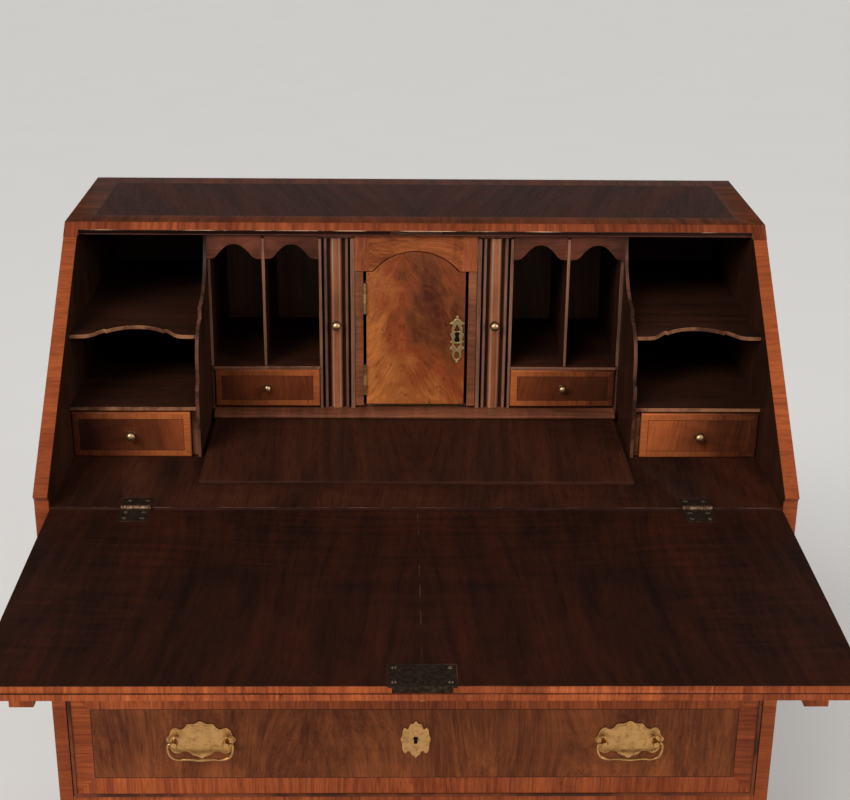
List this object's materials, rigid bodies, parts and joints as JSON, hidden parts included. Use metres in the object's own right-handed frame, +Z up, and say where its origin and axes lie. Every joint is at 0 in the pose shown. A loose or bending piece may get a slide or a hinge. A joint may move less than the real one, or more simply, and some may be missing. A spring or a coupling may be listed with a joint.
{
  "type": "slant-front writing bureau",
  "caption": "Walnut writing bureau with a fall that opens onto pull-out bars, over drawers on bracket feet, with scrolled dividers, pigeonholes, column drawers and an arched cupboard inside.",
  "frame": {"origin": "under the middle of the open bureau's overall box, on the floor", "axes": "+Z up, +X to the bureau's left end seen from behind (the viewer's right), -Y towards the viewer, where the fall opens"},
  "size_m": [0.94, 0.9264, 1.025],
  "materials": {
    "case_walnut": "waxed",
    "carcase_wood": "unfinished",
    "bed_walnut": "waxed",
    "interior_walnut": "waxed",
    "fall_walnut": "polished",
    "drawer_walnut": "waxed",
    "burr_walnut": "polished",
    "aged_brass": "aged",
    "dull_brass": "dull",
    "handle_brass": "aged"
  },
  "bodies": {
    "case": {"side_left": "case_walnut", "side_right": "case_walnut", "top_board": "case_walnut", "back_boards": "carcase_wood", "bed_board": "bed_walnut", "frieze_panel": "case_walnut", "drawer_rails": "case_walnut", "dust_boards": "carcase_wood", "bottom_board": "carcase_wood", "loper_guides": "case_walnut", "well_box": "carcase_wood", "base_moulding": "case_walnut", "bracket_feet": "case_walnut", "wing_dividers": "interior_walnut", "wing_shelves": "interior_walnut", "nest_case": "interior_walnut", "nest_moulding": "interior_walnut", "valances": "interior_walnut", "cupboard_surround": "interior_walnut", "bed_hinge_leaves": "dull_brass", "strike_plate": "aged_brass", "door_frame_leaves": "aged_brass"},
    "fall": {"fall_board": "fall_walnut", "fall_hinge_leaves": "dull_brass", "fall_lock": "dull_brass", "fall_escutcheon": "aged_brass"},
    "well_cover": {"well_cover": "bed_walnut"},
    "cupboard_door": {"cupboard_door": "burr_walnut", "door_brass": "aged_brass"},
    "loper_left": {"loper_left": "case_walnut", "loper_knob_left": "aged_brass"},
    "wing_drawer_left": {"wing_drawer_left": "drawer_walnut", "wing_knob_left": "aged_brass"},
    "centre_drawer_left": {"centre_drawer_left": "drawer_walnut", "centre_knob_left": "aged_brass"},
    "column_drawer_left": {"column_drawer_left": "drawer_walnut", "column_knob_left": "aged_brass"},
    "loper_right": {"loper_right": "case_walnut", "loper_knob_right": "aged_brass"},
    "wing_drawer_right": {"wing_drawer_right": "drawer_walnut", "wing_knob_right": "aged_brass"},
    "centre_drawer_right": {"centre_drawer_right": "drawer_walnut", "centre_knob_right": "aged_brass"},
    "column_drawer_right": {"column_drawer_right": "drawer_walnut", "column_knob_right": "aged_brass"},
    "short_drawer_left": {"short_drawer_left": "drawer_walnut", "short_drawer_left_brasses": "handle_brass"},
    "short_drawer_right": {"short_drawer_right": "drawer_walnut", "short_drawer_right_brasses": "handle_brass"},
    "upper_drawer": {"upper_drawer": "drawer_walnut", "upper_drawer_brasses": "handle_brass"},
    "lower_drawer": {"lower_drawer": "drawer_walnut", "lower_drawer_brasses": "handle_brass"},
    "short_drawer_left_bail": {"short_drawer_left_bail": "handle_brass"},
    "short_drawer_right_bail": {"short_drawer_right_bail": "handle_brass"},
    "upper_drawer_bail_left": {"upper_drawer_bail_left": "handle_brass"},
    "upper_drawer_bail_right": {"upper_drawer_bail_right": "handle_brass"},
    "lower_drawer_bail_left": {"lower_drawer_bail_left": "handle_brass"},
    "lower_drawer_bail_right": {"lower_drawer_bail_right": "handle_brass"}
  },
  "joints": [
    {"name": "fall_hinge", "type": "hinge", "parent": "case", "child": "fall", "pos_m": [0, -0.07681, 0.75], "axis": [1, 0, 0], "range_deg": [-140.6, 0]},
    {"name": "loper_left_slide", "type": "slide", "parent": "case", "child": "loper_left", "axis": [0, -1, 0], "range_m": [-0.3, 0]},
    {"name": "loper_right_slide", "type": "slide", "parent": "case", "child": "loper_right", "axis": [0, -1, 0], "range_m": [-0.3, 0]},
    {"name": "well_cover_slide", "type": "slide", "parent": "case", "child": "well_cover", "axis": [0, 1, 0], "range_m": [0, 0.18]},
    {"name": "wing_drawer_left_slide", "type": "slide", "parent": "case", "child": "wing_drawer_left", "axis": [0, -1, 0], "range_m": [0, 0.14]},
    {"name": "centre_drawer_left_slide", "type": "slide", "parent": "case", "child": "centre_drawer_left", "axis": [0, -1, 0], "range_m": [0, 0.15]},
    {"name": "column_drawer_left_slide", "type": "slide", "parent": "case", "child": "column_drawer_left", "axis": [0, -1, 0], "range_m": [0, 0.15]},
    {"name": "wing_drawer_right_slide", "type": "slide", "parent": "case", "child": "wing_drawer_right", "axis": [0, -1, 0], "range_m": [0, 0.14]},
    {"name": "centre_drawer_right_slide", "type": "slide", "parent": "case", "child": "centre_drawer_right", "axis": [0, -1, 0], "range_m": [0, 0.15]},
    {"name": "column_drawer_right_slide", "type": "slide", "parent": "case", "child": "column_drawer_right", "axis": [0, -1, 0], "range_m": [0, 0.15]},
    {"name": "cupboard_door_hinge", "type": "hinge", "parent": "case", "child": "cupboard_door", "pos_m": [-0.06835, 0.21291, 0.75], "axis": [0, 0, -1], "range_deg": [0, 90]},
    {"name": "short_drawer_left_slide", "type": "slide", "parent": "case", "child": "short_drawer_left", "axis": [0, -1, 0], "range_m": [0, 0.3]},
    {"name": "short_drawer_right_slide", "type": "slide", "parent": "case", "child": "short_drawer_right", "axis": [0, -1, 0], "range_m": [0, 0.3]},
    {"name": "upper_drawer_slide", "type": "slide", "parent": "case", "child": "upper_drawer", "axis": [0, -1, 0], "range_m": [0, 0.3]},
    {"name": "lower_drawer_slide", "type": "slide", "parent": "case", "child": "lower_drawer", "axis": [0, -1, 0], "range_m": [0, 0.3]},
    {"name": "short_drawer_left_bail_hinge", "type": "hinge", "parent": "short_drawer_left", "child": "short_drawer_left_bail", "pos_m": [-0.225, -0.08781, 0.58464], "axis": [-1, 0, 0], "range_deg": [0, 75]},
    {"name": "short_drawer_right_bail_hinge", "type": "hinge", "parent": "short_drawer_right", "child": "short_drawer_right_bail", "pos_m": [0.225, -0.08781, 0.58464], "axis": [-1, 0, 0], "range_deg": [0, 75]},
    {"name": "upper_drawer_bail_left_hinge", "type": "hinge", "parent": "upper_drawer", "child": "upper_drawer_bail_left", "pos_m": [-0.27404, -0.08781, 0.42401], "axis": [-1, 0, 0], "range_deg": [0, 75]},
    {"name": "upper_drawer_bail_right_hinge", "type": "hinge", "parent": "upper_drawer", "child": "upper_drawer_bail_right", "pos_m": [0.27404, -0.08781, 0.42401], "axis": [-1, 0, 0], "range_deg": [0, 75]},
    {"name": "lower_drawer_bail_left_hinge", "type": "hinge", "parent": "lower_drawer", "child": "lower_drawer_bail_left", "pos_m": [-0.27404, -0.08781, 0.23198], "axis": [-1, 0, 0], "range_deg": [0, 75]},
    {"name": "lower_drawer_bail_right_hinge", "type": "hinge", "parent": "lower_drawer", "child": "lower_drawer_bail_right", "pos_m": [0.27404, -0.08781, 0.23198], "axis": [-1, 0, 0], "range_deg": [0, 75]}
  ]
}
